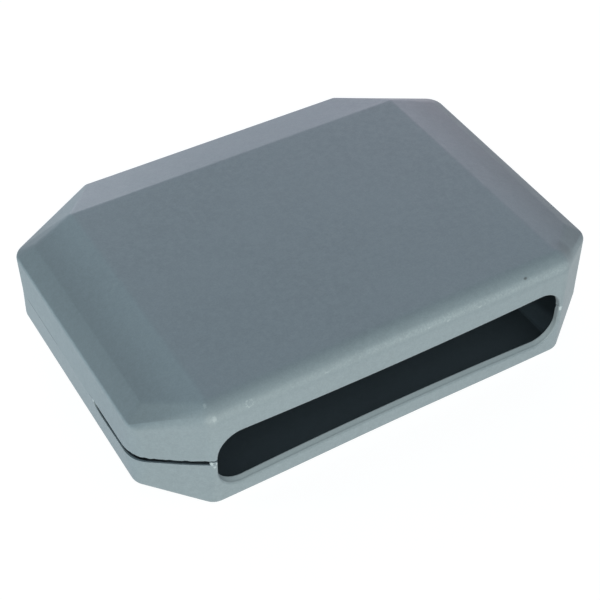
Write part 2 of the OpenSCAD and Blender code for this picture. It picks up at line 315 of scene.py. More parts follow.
CORNERS = 8
END_DRAFT = 0.6 * MM
FRONT_DRAFT = 0.3 * MM
FRONT_CORNER_Y = 17.8 * MM
BACK_CORNER_Y = 21.8 * MM
BACK_CORNER_X = 59.3 * MM
FOLD_R = 6 * MM
# How far inside a fold its rounding's centre lies
FOLD_INSET = FOLD_R * tan(radians(7.5)) + 0.87 * MM
SMALLEST_R = 1 * MM
# Plan radii of the corners at the seam, and at the upper and the lower edge
SEAM_R = [r * MM for r in (3, 3, 15, 15, 15, 15, 15, 15)]
TOP_R = [r * MM for r in (8, 8, 7.4, 8.3, 3.9, 3.9, 8.3, 7.4)]
LOW_R = [r * MM for r in (6.8, 6.8, 7.3, 7.3, 7.3, 7.3, 7.3, 7.3)]
# Radii of the edges above and below those corners
TOP_EDGE_R = [r * MM for r in (8, 8, 6.4, 6.4, 3.9, 3.9, 6.4, 6.4)]
LOW_EDGE_R = [2 * MM] * CORNERS
# The upper shell's end slopes bend down a little before a tighter edge.
# Corner: how far inside the bend lies, and how far below the corner's top the edge lies
END_BENDS = {2: (3.8 * MM, 5.6 * MM), 3: (2 * MM, 4.1 * MM),
             6: (3.6 * MM, 5.2 * MM), 7: (3.8 * MM, 5.4 * MM)}
END_EDGE_R = 1.5 * MM
END_SLOPE = 0.266
# Share of the wall's depth by which the inner edge lies above a plain offset
END_EDGE_LIFT = 0.54
# Upright band of the walls next to the seam
SEAM_LAND = 0.3 * MM
# Deepest flat that a rounded corner's facets may leave
FACET_DEPTH = 0.012 * MM


def outline(front_x, end_x, front_y):
    return [Vector(p) for p in (
        (-front_x, front_y), (front_x, front_y),
        (end_x, FRONT_Y + FRONT_CORNER_Y), (end_x, HALF_DEPTH - BACK_CORNER_Y),
        (BACK_CORNER_X, HALF_DEPTH), (-BACK_CORNER_X, HALF_DEPTH),
        (-end_x, HALF_DEPTH - BACK_CORNER_Y), (-end_x, FRONT_Y + FRONT_CORNER_Y))]


def seam_outline():
    return outline(sizes().fold_front_x, HALF_LENGTH, FRONT_Y)


def face_outline():
    return outline(sizes().fold_front_x, HALF_LENGTH - END_DRAFT, FRONT_Y + FRONT_DRAFT)


def inward(start, end):
    along = end - start
    return Vector((-along.y, along.x)).normalized()


def inside(points, i, depth):
    """The point that lies depth inside both walls that meet at corner i."""
    before = inward(points[i - 1], points[i])
    after = inward(points[i], points[(i + 1) % CORNERS])
    return points[i] + depth * (before + after) / (1 + before.dot(after))


def shrunk(radius, shrink):
    return max(radius - shrink, SMALLEST_R)


def steps_for(radius):
    """Steps round a circle that keep its facets shallow, as a multiple of eight."""
    return 8 * max(2, round(pi * sqrt(radius / (2 * FACET_DEPTH)) / 8))


def rounded_corner(place, plan_r, edge_r, z):
    """Ball, or ring where the plan radius is larger, at one corner of a shell."""
    bpy.ops.object.select_all(action="DESELECT")
    edge_steps = steps_for(edge_r)
    if plan_r - edge_r < 0.01 * MM:
        bpy.ops.mesh.primitive_uv_sphere_add(
            segments=steps_for(plan_r), ring_count=edge_steps // 2, radius=edge_r,
            location=(place.x, place.y, z))
    else:
        bpy.ops.mesh.primitive_torus_add(
            major_segments=steps_for(plan_r), minor_segments=edge_steps,
            major_radius=plan_r - edge_r, minor_radius=edge_r, location=(place.x, place.y, z))
    return settled("corner")


def half_block(name, side, height, fall, back_x, plan_r, edge_r, shrink=0.0):
    """Solid half of the block above (side 1) or below (side -1) the seam.

    With shrink its surfaces lie that much deeper, and it runs on past the seam.
    """
    parts = []
    for i in range(CORNERS):
        seam_r = shrunk(SEAM_R[i], shrink)
        at = inside(seam_outline(), i, shrink + seam_r)
        past = MM if shrink else 0
        ends = sorted((SEAM_Z - side * past, SEAM_Z + side * SEAM_LAND))
        parts.append(cylinder("corner", seam_r, *ends, place=at, steps=steps_for(seam_r)))
        corner_r = shrunk(plan_r[i], shrink)
        rim_r = min(corner_r, shrunk(edge_r[i], shrink))
        top = height - shrink - (fall if i > 1 else 0)
        at = inside(face_outline(), i, shrink + corner_r)
        if side > 0 and i in END_BENDS:
            inset, drop = END_BENDS[i]
            parts.append(rounded_corner(at, corner_r, shrunk(END_EDGE_R, shrink),
                                        SEAM_Z + top - drop + END_EDGE_LIFT * shrink))
            at = inside(face_outline(), i, shrink + corner_r + inset)
            top += END_SLOPE * inset
        parts.append(rounded_corner(at, corner_r, rim_r, SEAM_Z + side * (top - rim_r)))
    fold_y = HALF_DEPTH - sizes().back_slope - FOLD_INSET
    for x in (-1, 1):
        at = Vector((x * (back_x - FOLD_INSET), fold_y))
        parts.append(rounded_corner(at, FOLD_R - shrink, FOLD_R - shrink,
                                    SEAM_Z + side * (height - FOLD_R)))
    return hulled(name, parts)


def upper_half(name, shrink=0.0):
    own = sizes()
    return half_block(name, 1, UPPER_HEIGHT, own.upper_fall, own.fold_back_x,
                      TOP_R, TOP_EDGE_R, shrink)


def lower_half(name, shrink=0.0):
    own = sizes()
    return half_block(name, -1, LOWER_HEIGHT, own.lower_fall, own.fold_front_x,
                      LOW_R, LOW_EDGE_R, shrink)


def seam_prism(name, inset, low, high):
    """Straight prism that lies inset inside the walls at the seam."""
    parts = []
    for i in range(CORNERS):
        radius = shrunk(SEAM_R[i], inset)
        at = inside(seam_outline(), i, inset + radius)
        parts.append(cylinder("corner", radius, low, high, place=at, steps=steps_for(radius)))
    return hulled(name, parts)


# The slot

LIP_STEPS = 8
SLOT_CORNER_STEPS = 96
SLOT_STRAIGHT_CUTS = 31
SLOT_REACH = 12 * MM


def arc_depth(x, half_chord, sag):
    """Height of a shallow arc over its chord, at x from its middle."""
    return sag * (1 - (x / half_chord) ** 2)


def slot_tool(side, straight_height, lip):
    """Cutter for the slot in one shell, flared in front into a lip of radius lip."""
    own = sizes()
    fall = tan(own.lower_lip_tilt) if side < 0 else 0
    corner_x = own.slot_length / 2 - own.slot_corner_r
    corner_z = own.slot_height / 2 - own.slot_corner_r
    bpy.ops.object.select_all(action="DESELECT")
    bpy.ops.mesh.primitive_circle_add(
        vertices=SLOT_CORNER_STEPS, radius=own.slot_corner_r + lip, fill_type="NOTHING",
        location=(0, -2 * lip, 0), rotation=(pi / 2, pi / SLOT_CORNER_STEPS, 0))
    made = settled("slot_tool")
    for vertex in made.data.vertices:
        vertex.co.x += copysign(corner_x, vertex.co.x)
        vertex.co.z += copysign(corner_z, vertex.co.z)
    edit(made, "EDGE", "DESELECT")
    pick(made, "edges", lambda edge: edge.calc_length() > corner_x)
    bpy.ops.mesh.subdivide(number_cuts=SLOT_STRAIGHT_CUTS)
    leave_edit()
    for vertex in made.data.vertices:
        x = min(abs(vertex.co.x), corner_x)
        if vertex.co.z > 0:
            vertex.co.z -= arc_depth(x, corner_x, own.upper_lip_sag)
        else:
            vertex.co.z += arc_depth(x, corner_x, own.lower_lip_rise) - fall * own.wall
    edit(made, "EDGE")
    bpy.ops.mesh.edge_face_add()
    bpy.ops.mesh.extrude_region_move(TRANSFORM_OT_translate={"value": (0, 2 * lip, 0)})
    turn_outward()
    bpy.ops.mesh.select_mode(type="FACE")
    pick(made, "faces", lambda face: face.normal.y > 0.9)
    for step in range(LIP_STEPS):
        start, end = (pi / 2 * (step + k) / LIP_STEPS for k in (0, 1))
        bpy.ops.mesh.inset(thickness=lip * (sin(end) - sin(start)),
                           depth=lip * (cos(start) - cos(end)), use_even_offset=True)
    bpy.ops.mesh.extrude_region_move(TRANSFORM_OT_translate={"value": (0, SLOT_REACH, 0)})
    leave_edit()
    for vertex in made.data.vertices:
        if vertex.co.z < 0 and vertex.co.y > SLOT_REACH:
            vertex.co.z += fall * SLOT_REACH
    turn = Matrix.Rotation(-side * atan2(FRONT_DRAFT, straight_height), 4, "X")
    made.data.transform(Matrix.Translation((0, FRONT_Y, SEAM_Z)) @ turn
                        @ Matrix.Translation((0, 0, own.slot_rise)))
    return made


# Screws, the recess for the bracket and the hollow of the underside

SCREW_PLACES = [(x * MM, y * MM) for x, y in
                ((-66, -28), (66, -28), (-66, 38), (66, 38), (-36, 40), (36, 40))]
SCREW_R = 1.7 * MM
BOSS_R = 4.6 * MM
BOSS_PLAY = 0.05 * MM
COUNTERBORE_R = 3.9 * MM
COUNTERBORE_H = 8 * MM
PILOT_TOP = 34 * MM
TONGUE_HEIGHT = 1.6 * MM
TONGUE_PLAY = 0.15 * MM
BRACKET_SCREW_PLACES = [(-13 * MM, 34 * MM), (13 * MM, 34 * MM)]
BRACKET_HOLE_R = 2.75 * MM
BRACKET_LOW, BRACKET_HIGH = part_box("mount_bracket")
PAD_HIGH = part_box("isolation_pad")[1]
RECESS_CLEAR = 1 * MM
KNEE_OUT_Y = HALF_DEPTH + 0.2 * MM
TAB_Z = 6.5 * MM
# How far a cutter runs on past what it cuts
RUN_PAST = 12 * MM
HOLLOW_STEPS = 720
HOLLOW_END_Y = -12 * MM


def band(name, half_width, start_y, end_y, low, high):
    """Bent strip that runs back level, climbs the back slope and runs level again."""
    knee_in_y = HALF_DEPTH - sizes().back_slope + 0.7 * MM
    plate_z = BRACKET_LOW.z
    bend = atan2(TAB_Z - plate_z, KNEE_OUT_Y - knee_in_y)

    def side(height):
        shift = height * tan(bend / 2)
        return [(start_y, plate_z + height), (knee_in_y - shift, plate_z + height),
                (KNEE_OUT_Y - shift, TAB_Z + height), (end_y, TAB_Z + height)]

    points = side(low) + side(high)[::-1]
    return outline_plate(name, [(-half_width, y, z) for y, z in points], (2 * half_width, 0, 0))


def hollow_tool(grow=0.0):
    """Large cylinder that hollows the underside in front and runs out towards the middle."""
    own = sizes()
    rise = own.underside_rise
    radius = (own.fold_front_x ** 2 + rise ** 2) / (2 * rise)
    run_out = HOLLOW_END_Y - FRONT_Y
    made = cylinder("hollow", radius + grow, -4 * MM, run_out + 26 * MM, place=(0, -radius),
                    steps=HOLLOW_STEPS, axis="Y")
    made.data.transform(Matrix.Translation((0, FRONT_Y, rise))
                        @ Matrix.Rotation(-atan2(rise, run_out), 4, "X"))
    return made


def columns(name, radius, low, high, places=SCREW_PLACES, steps=32):
    return joined(name, [cylinder(name, radius, low, high, place=place, steps=steps)
                         for place in places])


def at_seam(edge):
    return all(abs(vertex.co.z - SEAM_Z) < 0.002 * MM for vertex in edge.verts)


# The open seam at the left front corner

GAP_START_Y = -23 * MM
GAP_LEAD = 4 * MM
GAP_FRONT_X = -72.5 * MM
GAP_STEP = 0.8 * MM
OUTSIDE = 1 * MM
LIP = 0.65 * MM
# Millimetres: distance along the seam, depth of the lower rim, height of the upper rim
OPEN_SEAM = ((-4, 0.05, 0), (-0.4, 0.1, 0), (0.2, 2.1, 0), (2, 2.6, 0), (5, 2.9, 0), (10, 2.95, 0),
             (14, 2.7, 0), (20, 2.4, 0), (24, 2.35, 0), (29, 2.55, 0), (32, 2.3, 0.05),
             (35, 1.85, 0.35), (39, 1.6, 0.5), (47, 1.45, 0.7), (51, 1.2, 0.85), (54.6, 0.9, 1.4),
             (58.1, 0.5, 1.65), (58.7, 0, 1.75), (64, 0, 1.85))
# Flash of the lower shell that closes the last stretch before the slot, but for a slit
FLASH_START = 58.2 * MM
FLASH_RISE = 0.95 * MM
FLASH_DEPTH = 1 * MM
GROOVE_STOP = FLASH_START + 4.5 * MM


def gap_stations():
    """Runs, points and outward directions along the seam, from the left wall to the slot."""
    plan = seam_outline()
    out = Vector((-1, 0))
    stations = [(Vector((-HALF_LENGTH, GAP_START_Y + GAP_LEAD)), out)]
    for i in (7, 0):
        centre = inside(plan, i, SEAM_R[i])
        turn_to = -inward(plan[i], plan[(i + 1) % CORNERS])
        sweep = out.angle_signed(turn_to)
        steps = max(4, round(abs(sweep) * SEAM_R[i] / GAP_STEP))
        start = centre + out * SEAM_R[i]
        last, direction = stations[-1]
        count = max(1, round((start - last).length / GAP_STEP))
        stations += [(last.lerp(start, k / count), out) for k in range(1, count)]
        for k in range(steps + 1):
            turned = Matrix.Rotation(-sweep * k / steps, 2) @ out
            stations.append((centre + turned * SEAM_R[i], turned))
        out = turn_to
    stations.append((Vector((GAP_FRONT_X, FRONT_Y)), Vector((0, -1))))
    runs = [-GAP_LEAD]
    for (last, _), (this, _) in zip(stations, stations[1:]):
        runs.append(runs[-1] + (this - last).length)
    return [(run, *station) for run, station in zip(runs, stations)]


def seam_stretch(start, stop):
    """The open seam's stations from start to stop, with one at each of the two."""
    every = gap_stations()
    start, stop = max(start, every[0][0]), min(stop, every[-1][0])
    ends = []
    for at in (start, stop):
        k = next(k for k in range(1, len(every)) if every[k][0] >= at)
        (low, place, out), (high, next_place, next_out) = every[k - 1], every[k]
        share = (at - low) / (high - low)
        ends.append((at, place.lerp(next_place, share), out.lerp(next_out, share).normalized()))
    kept = [s for s in every if start + 0.1 * MM < s[0] < stop - 0.1 * MM]
    return [ends[0], *kept, ends[1]]


def seam_strip(name, near, far, low_at, high_at, start=-1, stop=1):
    """Closed strip along the open seam, from near to far outside the wall.

    low_at and high_at give its heights by the distance along the seam.
    """
    stations = seam_stretch(start, stop)
    bpy.ops.object.select_all(action="DESELECT")
    bpy.ops.mesh.primitive_grid_add(x_subdivisions=len(stations) - 1, y_subdivisions=1, size=1)
    made = settled(name)
    rows = [sorted(made.data.vertices, key=lambda v: (round(v.co.x, 5), v.co.y))[k::2]
            for k in (0, 1)]
    for row, reach in zip(rows, (near, far)):
        for vertex, (run, place, out) in zip(row, stations):
            at = place + out * reach
            vertex.co = (at.x, at.y, low_at(run))
    lows = {tuple(v.co.xy): s[0] for row in rows for v, s in zip(row, stations)}
    edit(made, "FACE")
    bpy.ops.mesh.extrude_region_move(TRANSFORM_OT_translate={"value": (0, 0, 20 * MM)})
    turn_outward()
    leave_edit()
    for vertex in made.data.vertices:
        if vertex.co.z > SEAM_Z + 9 * MM:
            vertex.co.z = high_at(lows[tuple(vertex.co.xy)])
    return made


def jitter(run, seed, step):
    """Seeded ragged line from -1 to 1 by distance along the seam."""
    return noise.noise(Vector((run / step, seed, 0.5)))


def open_seam(run, column):
    """One column of the open seam's table at a distance along it."""
    at = run / MM
    for low, high in zip(OPEN_SEAM, OPEN_SEAM[1:]):
        if at <= high[0]:
            share = max(0, (at - low[0]) / (high[0] - low[0]))
            return (low[column] + share * (high[column] - low[column])) * MM
    return OPEN_SEAM[-1][column] * MM


def lower_rim(run):
    """Height of the open seam's lower rim."""
    ragged = 0.06 * MM * jitter(run, 3.1, 2.2 * MM) if run > 0 else 0
    return SEAM_Z - open_seam(run, 1) * sizes().seam_gap - 0.02 * MM + ragged


def upper_rim(run):
    """Height of the ragged upper rim over the open seam."""
    ragged = jitter(run, 7.7, 1.6 * MM) + 0.6 * jitter(run, 2.3, 0.7 * MM)
    nick = max(-0.1, 0.5 * (ragged - 0.15)) if run > 0 else -0.1
    return SEAM_Z + open_seam(run, 2) + nick * MM


def flash_top(run):
    """Height of the ragged flash next to the slot."""
    return SEAM_Z + FLASH_RISE + 0.22 * MM * jitter(run, 5.2, 0.9 * MM)


SHELL_ANGLE = 35
GAP_LIP_DEPTHS = (0.4 * MM, 3.4 * MM)
# Upward parts of the normals of an upright and of a level face
UPRIGHT, LEVEL = 0.3, 0.8


def on_gap_lip(edge):
    """The outer edge of the open seam's floor."""
    if not edge.is_convex or max(v.co.x for v in edge.verts) > -sizes().fold_front_x - MM:
        return False
    depths = [SEAM_Z - v.co.z for v in edge.verts]
    low, high = sorted(abs(face.normal.z) for face in edge.link_faces)
    shallow, deep = GAP_LIP_DEPTHS
    return shallow < min(depths) and max(depths) < deep and low < UPRIGHT and high > LEVEL


class MESH_OT_woodblock_upper_shell(bpy.types.Operator):
    """Model the upper shell: sloping faces, slot lip, bosses and rebate"""

    bl_idname = "mesh.woodblock_upper_shell"
    bl_label = "Upper shell"

    def execute(self, context):
        own = sizes()
        shell = upper_half("upper_moulding")
        bevel_edges(shell, at_seam, own.rim_round)
        cut(shell, upper_half("core", own.wall))
        add(shell, columns("bosses", BOSS_R - 0.4 * MM, SEAM_Z + BOSS_PLAY, UPPER_HIGH.z - own.wall / 2))
        rebate = seam_prism("rebate", own.wall / 2 - TONGUE_PLAY, SEAM_Z - MM,
                            SEAM_Z + TONGUE_HEIGHT + TONGUE_PLAY)
        cut(shell, cut(rebate, columns("posts", BOSS_R, SEAM_Z - 2 * MM, SEAM_Z + 5 * MM)))
        cut(shell, columns("pilots", SCREW_R, SEAM_Z - MM, PILOT_TOP, steps=24))
        cut(shell, seam_strip("nicks", OUTSIDE, -own.wall / 2 - 0.1 * MM,
                              lambda run: SEAM_Z - 0.5 * MM, upper_rim))
        cut(shell, slot_tool(1, UPPER_HEIGHT - TOP_EDGE_R[0], own.upper_lip_round))
        dress(shell, moulded_plastic(), SHELL_BODY, "upper_shell", SHELL_ANGLE)
        return {"FINISHED"}


class MESH_OT_woodblock_lower_shell(bpy.types.Operator):
    """Model the lower shell: slot lip, open seam, recess, hollow underside, bosses and tongue"""

    bl_idname = "mesh.woodblock_lower_shell"
    bl_label = "Lower shell"

    def execute(self, context):
        own = sizes()
        wall = own.wall
        shell = lower_half("lower_moulding")
        bevel_edges(shell, at_seam, own.rim_round)
        cut(shell, lower_half("core", wall))
        half_width = BRACKET_HIGH.x + RECESS_CLEAR
        recess_y = BRACKET_LOW.y - RECESS_CLEAR
        depth = PAD_HIGH.z - BRACKET_LOW.z
        platform = band("platform", half_width + wall, recess_y - wall, HALF_DEPTH, 0, depth + wall)
        add(shell, combine(platform, lower_half("block", wall / 2), "INTERSECT"))
        add(shell, combine(hollow_tool(wall), lower_half("block", wall / 2), "INTERSECT"))
        tongue = seam_prism("tongue", wall / 2, SEAM_Z - 2 * MM, SEAM_Z + TONGUE_HEIGHT)
        add(shell, cut(tongue, seam_prism("core", wall - 2 * TONGUE_PLAY, SEAM_Z - 3 * MM,
                                          SEAM_Z + TONGUE_HEIGHT + MM)))
        add(shell, columns("bosses", BOSS_R, wall / 2, SEAM_Z - BOSS_PLAY))
        cut(shell, columns("counterbores", COUNTERBORE_R, -MM, COUNTERBORE_H))
        cut(shell, columns("holes", SCREW_R + 0.2 * MM, MM, SEAM_Z + 5 * MM, steps=24))
        cut(shell, band("recess", half_width, recess_y, HALF_DEPTH + 5 * MM, -RUN_PAST, depth))
        cut(shell, columns("holes", BRACKET_HOLE_R, MM, RUN_PAST, BRACKET_SCREW_PLACES))
        cut(shell, hollow_tool())
        cut(shell, seam_strip("gap", OUTSIDE, -LIP - 0.05 * MM, lower_rim,
                              lambda run: SEAM_Z + 0.1 * MM, stop=FLASH_START))
        cut(shell, seam_strip("groove", -LIP, -wall - MM, lambda run: lower_rim(run) - 2 * MM,
                              lambda run: SEAM_Z + TONGUE_HEIGHT + MM, 0.2 * MM,
                              GROOVE_STOP))
        bevel_edges(shell, on_gap_lip, 0.15 * MM, 2)
        add(shell, seam_strip("flash", -0.12 * MM, -FLASH_DEPTH, lambda run: SEAM_Z - 1.5 * MM,
                              flash_top, start=FLASH_START - 0.4 * MM))
        cut(shell, slot_tool(-1, LOWER_HEIGHT - LOW_EDGE_R[0], own.lower_lip_round))
        dress(shell, moulded_plastic(), SHELL_BODY, "lower_shell", SHELL_ANGLE)
        return {"FINISHED"}


# Steel and rubber parts

def rounded_copy(node, name, width, segments=2):
    """Copy one of the frame's nodes, merge its triangles and round its edges."""
    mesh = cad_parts[node].data.copy()
    made = bpy.data.objects.new(name, mesh)
    mesh.name = name
    bpy.context.scene.collection.objects.link(made)
    edit(made)
    bpy.ops.mesh.remove_doubles(threshold=MERGE_DISTANCE)
    bpy.ops.mesh.dissolve_limited(angle_limit=radians(1))
    leave_edit()
    if width:
        step = made.modifiers.new("rounded edges", "BEVEL")
        step.width = width
        step.segments = segments
        step.limit_method = "ANGLE"
        step.angle_limit = radians(30)
        step.use_clamp_overlap = True
        only(made)
        bpy.ops.object.modifier_apply(modifier=step.name)
    return made


def dress(piece, material, body, node, angle=40):
    """Smooth and finish a new piece and let it stand for its node."""
    smooth(piece, angle)
    piece.data.materials.clear()
    piece.data.materials.append(material)
    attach(piece, body)
    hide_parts(node)


def coat(node, material):
    """Give one of the frame's nodes a better material."""
    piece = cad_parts[node]
    if not piece.material_slots:
        piece.data.materials.append(material)
    for place in piece.material_slots:
        place.material = material


THREAD_PITCH = 1 * MM
THREAD_DEPTH = 0.5 * MM
THREAD_STEPS = 10
THREAD_SIDES = 40
BOLT_LOW, BOLT_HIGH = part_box("eye_bolt")
BOLT_AXIS = ((BOLT_LOW.y + BOLT_HIGH.y) / 2, (BOLT_LOW.z + BOLT_HIGH.z) / 2)
SHANK_R = 2.97 * MM
THREAD_START_X = 10.5 * MM
POINT_CHAMFER = 0.9 * MM


def thread_radius(x, turn):
    """Radius of the thread at x along the bolt and a turn from 0 to 1 round it."""
    phase = (x / THREAD_PITCH - turn) % 1
    ridge = 1 - abs(2 * phase - 1)
    radius = SHANK_R - THREAD_DEPTH * min(1, max(0, 1.25 * ridge - 0.1))
    start = min(1, max(0, (x - THREAD_START_X) / (1.5 * THREAD_PITCH)))
    radius = SHANK_R + (radius - SHANK_R) * start
    return min(radius, SHANK_R - POINT_CHAMFER + (BOLT_HIGH.x - x))


def threaded_rod(name):
    """Rod along X with a helical thread, made of many thin extrusions."""
    bpy.ops.object.select_all(action="DESELECT")
    bpy.ops.mesh.primitive_circle_add(
        vertices=THREAD_SIDES, radius=SHANK_R, fill_type="NGON",
        location=(THREAD_START_X, *BOLT_AXIS), rotation=(0, pi / 2, 0))
    made = settled(name)
    reach = BOLT_HIGH.x - THREAD_START_X
    count = round(reach / THREAD_PITCH * THREAD_STEPS)
    edit(made, "FACE")
    for step in range(count):
        bpy.ops.mesh.extrude_region_move(
            TRANSFORM_OT_translate={"value": (reach / count, 0, 0)})
    turn_outward()
    leave_edit()
    for vertex in made.data.vertices:
        y, z = vertex.co.y - BOLT_AXIS[0], vertex.co.z - BOLT_AXIS[1]
        turn = atan2(z, y) / (2 * pi)
        scale = thread_radius(vertex.co.x, turn) / SHANK_R
        vertex.co.y = BOLT_AXIS[0] + y * scale
        vertex.co.z = BOLT_AXIS[1] + z * scale
    return made


class MESH_OT_woodblock_bracket(bpy.types.Operator):
    """Round the edges of the bent bracket and finish the rubber pad above it"""

    bl_idname = "mesh.woodblock_bracket"
    bl_label = "Bracket and pad"

    def execute(self, context):
        bracket = rounded_copy("mount_bracket", "bent_bracket", 0.3 * MM, 3)
        dress(bracket, powder_coat(), SHELL_BODY, "mount_bracket")
        coat("isolation_pad", black_rubber())
        return {"FINISHED"}


class MESH_OT_woodblock_screws(bpy.types.Operator):
    """Finish the screws, washers and lock nuts that hold the shells and the bracket"""

    bl_idname = "mesh.woodblock_screws"
    bl_label = "Screws and nuts"

    def execute(self, context):
        material = zinc_plate()
        for node in ("shell_screws", "bracket_screws", "bracket_washers", "bracket_locknuts"):
            coat(node, material)
        return {"FINISHED"}


class MESH_OT_woodblock_clamp(bpy.types.Operator):
    """Model the eye bolt with its thread, the two washers and the wing nut"""

    bl_idname = "mesh.woodblock_clamp"
    bl_label = "Rod clamp"

    def execute(self, context):
        material = satin_chrome()
        eye = rounded_copy("eye_bolt", "clamp_eye_bolt", 0)
        edit(eye)
        bpy.ops.mesh.bisect(plane_co=(THREAD_START_X + 0.2 * MM, 0, 0), plane_no=(1, 0, 0),
                            use_fill=True, clear_outer=True)
        leave_edit()
        eye = joined("clamp_eye_bolt", [eye, threaded_rod("thread")])
        dress(eye, material, "eye_bolt", "eye_bolt")
        nut = rounded_copy("wing_nut", "clamp_wing_nut", 0.5 * MM, 3)
        dress(nut, material, "wing_nut", "wing_nut")
        for node in ("clamp_washer", "lock_washer"):
            ring = rounded_copy(node, "rounded_" + node, 0.18 * MM)
            dress(ring, material, SHELL_BODY, node)
        return {"FINISHED"}


# Finishes

class Nodes:
    """The node tree of a material or world, with short ways to add and link its nodes."""

    def __init__(self, owner):
        owner.use_nodes = True
        self.tree = owner.node_tree
        self.tree.nodes.clear()

    def node(self, kind, inputs=None, **settings):
        """Add a node. inputs are its sockets' values, or outputs to link to them."""
        made = self.tree.nodes.new(kind)
        for name, value in settings.items():
            setattr(made, name, value)
        for key, value in (inputs or {}).items():
            if isinstance(value, bpy.types.NodeSocket):
                self.tree.links.new(value, made.inputs[key])
            else:
                made.inputs[key].default_value = value
        return made

    def math(self, operation, a, b=0.0):
        return self.node("ShaderNodeMath", {0: a, 1: b}, operation=operation).outputs[0]

    def times(self, first, *others):
        for other in others:
            first = self.math("MULTIPLY", first, other)
        return first

    def seen_ray(self):
        """1 where the camera, a gloss or a clear part looks straight at it, else 0."""
        light_path = self.node("ShaderNodeLightPath").outputs
        seen = light_path["Is Camera Ray"]
        for other in ("Is Glossy Ray", "Is Transmission Ray"):
            seen = self.math("MAXIMUM", seen, light_path[other])
        return seen


class Finish(Nodes):
    """A new material's node tree."""

    def __init__(self, name):
        self.material = bpy.data.materials.new(name)
        super().__init__(self.material)
        self.place = self.node("ShaderNodeTexCoord").outputs["Object"]

    def grain(self, scale, detail=2.0, rough=0.5, stretch=None):
        """Noise from 0 to 1. scale is in features per metre."""
        place = self.place
        if stretch:
            place = self.node("ShaderNodeMapping", {"Vector": place, "Scale": stretch}).outputs[0]
        return self.node("ShaderNodeTexNoise", {
            "Vector": place, "Scale": scale, "Detail": detail, "Roughness": rough}).outputs["Fac"]

    def ramp(self, value, low, high, to_low=0.0, to_high=1.0):
        return self.node("ShaderNodeMapRange", {
            "Value": value, "From Min": low, "From Max": high, "To Min": to_low,
            "To Max": to_high}, interpolation_type="SMOOTHSTEP").outputs[0]

    def away(self, place, stretch=(1, 1, 1)):
        """Distance from a point given in millimetres, with the axes stretched."""
        shift = [-c * MM * s for c, s in zip(place, stretch)]
        offset = self.node("ShaderNodeVectorMath", {0: self.place, 1: stretch, 2: shift},
                           operation="MULTIPLY_ADD").outputs[0]
        return self.node("ShaderNodeVectorMath", {0: offset}, operation="LENGTH").outputs["Value"]

    def blend(self, factor, a, b):
        return self.node("ShaderNodeMix", {0: factor, 6: a, 7: b}, data_type="RGBA").outputs[2]

    def bump(self, height, distance, strength):
        inputs = {"Height": height, "Distance": distance, "Strength": strength}
        return self.node("ShaderNodeBump", inputs).outputs["Normal"]

    def shade(self, inputs):
        """Close the tree with a Principled surface."""
        surface = self.node("ShaderNodeBsdfPrincipled", inputs)
        self.node("ShaderNodeOutputMaterial", {"Surface": surface.outputs[0]})
        return self.material


def tinted(colour, factor):
    """A colour with its light scaled by factor."""
    return (*(c * factor for c in colour[:3]), 1)


# Rubbed and whitened spots: place and reach in millimetres, stretch of the axes, strength
RUBBED = (((-75.8, -66, 47.7), 1.3, (1.6, 1, 1), 0.3), ((-74.6, -70.4, 44.3), 1.5, (1.2, 1, 0.9), 0.35),
          ((-30.5, -70.8, 43.9), 0.7, (0.6, 1, 1.6), 0.35), ((13.1, -70.7, 43.9), 0.7, (0.6, 1, 1.6), 0.4),
          ((21.3, -70.9, 43.5), 0.7, (0.6, 1, 1.6), 0.35), ((35.6, -70.9, 43.5), 0.7, (0.6, 1, 1.6), 0.4),
          ((-99.8, -22.4, 22.3), 0.8, (1, 1, 1), 0.8), ((-77, -71.3, 22.8), 1, (1.5, 1, 1), 0.8),
          ((-76.2, -71.5, 21), 0.8, (1.5, 1, 1), 0.7), ((-75.4, -71.6, 22.6), 0.7, (1, 1, 1), 0.7),
          ((75, -71.5, 23.6), 1.5, (1, 1, 1), 0.8), ((71.4, -70.4, 11.3), 0.9, (1, 1, 1), 0.9))
# Pale colour of the rubbed spots and of the painted light on the slot's lips
PALE_WEAR_AND_LIGHT_COLOUR = (0.51, 0.57, 0.6, 1)
RAGGEDNESS = 2.6 * MM
RING_SCUFF = (-61, -70.3, 44.6)
RING_R = 1.2 * MM
RING_WIDTH = 0.4 * MM
RING_STRENGTH = 0.3
PIT = (57.1, -69.3, 46.1)
# Painted shade: a dark patch where the right end slope meets the front edge
SHADED_CORNER = (80.3, -63, 46)
EDGE_WEAR_Z = 44.5 * MM
# Share of the front edge's wear at its left end
EDGE_WEAR_LEFT = 0.45
# Painted light: the slot's cut lip faces are lightened as if lit from the front
LIP_LIGHT_STRENGTH = 0.35
# Limits: what is measured, and the millimetres at which the mark starts and is full
EDGE_WEAR = (("off edge", 2.2, 0.2), ("y", -68.5, -69.5))
# Limits of the painted light on the slot's lips
LIP_PAINTED_LIGHT = (("y", -71.5, -71), ("y", -69, -69.5), ("z", 36, 35), ("side", 75.5, 75.2))
